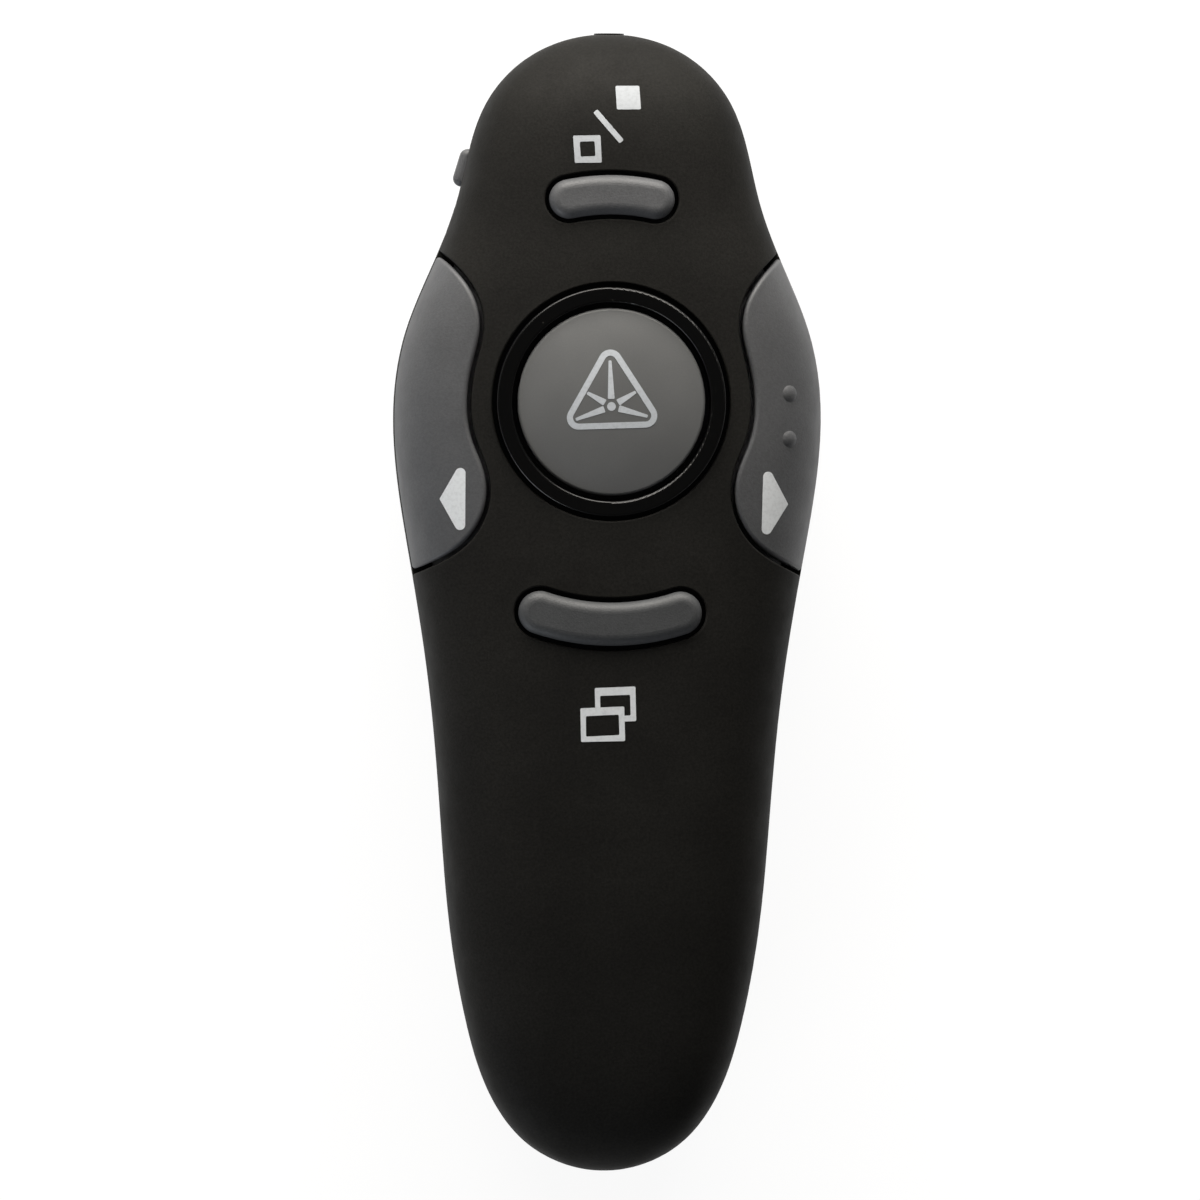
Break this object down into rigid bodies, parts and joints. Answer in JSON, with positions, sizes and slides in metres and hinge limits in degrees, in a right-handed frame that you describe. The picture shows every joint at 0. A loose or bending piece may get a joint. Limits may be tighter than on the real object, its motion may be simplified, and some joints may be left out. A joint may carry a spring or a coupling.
{
  "type": "wireless presentation clicker",
  "caption": "Hand-held wireless presentation clicker with a domed thumb button in a gloss ring, side pads, two curved band buttons, a side power slide and a laser aperture at the head.",
  "frame": {"origin": "bottom centre of the clicker lying on its back", "axes": "+Z out of the button face, +Y towards the laser end, +X to the right when the buttons are looked at"},
  "size_m": [0.0466, 0.1241, 0.0274],
  "materials": {
    "housing_black": "soft-touch black lacquer over moulded ABS, very fine bead-blast texture",
    "button_gray": "satin mid-gray moulded plastic, slightly rubbery",
    "ring_black": "polished piano-black plastic",
    "board_green": "green solder mask over glass-fibre board",
    "switch_black": "moulded black switch body",
    "plunger_white": "off-white moulded plunger",
    "chip_black": "black moulded epoxy",
    "plated_steel": "nickel-plated spring steel",
    "ceramic_tan": "tan ceramic with tinned ends",
    "copper_trace": "bare copper",
    "zinc_screw": "bright zinc-plated self-tapping screw",
    "cell_jacket": "printed foil jacket on a steel can, with no lettering",
    "clear_window": "clear polished acrylic",
    "lens_glass": "coated optical lens",
    "barrel_brass": "turned brass",
    "tongue_white": "white moulded insulator"
  },
  "bodies": {
    "housing": {"top_shell": "housing_black", "bottom_shell": "housing_black", "button_ring": "ring_black", "main_board": "board_green", "tact_switches": "switch_black", "controller_chip": "chip_black", "radio_chip": "chip_black", "crystal": "plated_steel", "small_components": "ceramic_tan", "antenna": "copper_trace", "housing_screws": "zinc_screw", "board_screws": "zinc_screw", "battery_left": "cell_jacket", "battery_right": "cell_jacket", "contact_bridge": "plated_steel", "contact_positive": "plated_steel", "contact_negative": "plated_steel", "aperture_bezel": "ring_black", "aperture_window": "clear_window", "laser_barrel": "barrel_brass", "laser_lens": "lens_glass", "laser_driver": "board_green", "laser_leads": "copper_trace", "power_switch": "plated_steel"},
    "laser_key": {"laser_button": "button_gray", "laser_plunger": "plunger_white"},
    "blank_key": {"blank_button": "button_gray", "blank_plunger": "plunger_white"},
    "window_key": {"window_button": "button_gray", "window_plunger": "plunger_white"},
    "forward_key": {"forward_pad": "button_gray", "forward_plunger": "plunger_white"},
    "back_key": {"back_pad": "button_gray", "back_plunger": "plunger_white"},
    "power_knob": {"power_slider": "button_gray", "switch_lever": "chip_black"},
    "door": {"battery_door": "housing_black"},
    "receiver": {"receiver_case": "ring_black", "receiver_plug": "plated_steel", "receiver_tongue": "tongue_white"}
  },
  "joints": [
    {"name": "laser_press", "type": "slide", "parent": "housing", "child": "laser_key", "axis": [0, 0, -1], "range_m": [0, 0.0005], "stiffness_N_per_m": 400},
    {"name": "blank_press", "type": "slide", "parent": "housing", "child": "blank_key", "axis": [0, 0, -1], "range_m": [0, 0.0005], "stiffness_N_per_m": 400},
    {"name": "window_press", "type": "slide", "parent": "housing", "child": "window_key", "axis": [0, 0, -1], "range_m": [0, 0.0005], "stiffness_N_per_m": 400},
    {"name": "forward_press", "type": "slide", "parent": "housing", "child": "forward_key", "axis": [0, 0, -1], "range_m": [0, 0.0005], "stiffness_N_per_m": 400},
    {"name": "back_press", "type": "slide", "parent": "housing", "child": "back_key", "axis": [0, 0, -1], "range_m": [0, 0.0005], "stiffness_N_per_m": 400},
    {"name": "power_slide", "type": "slide", "parent": "housing", "child": "power_knob", "axis": [0, -1, 0], "range_m": [0, 0.002]},
    {"name": "door_swing", "type": "hinge", "parent": "housing", "child": "door", "pos_m": [0, 0.01945, 0], "axis": [1, 0, 0], "range_deg": [0, 75]},
    {"name": "receiver_lift", "type": "slide", "parent": "housing", "child": "receiver", "axis": [0, 0, -1], "range_m": [0, 0.014]}
  ]
}
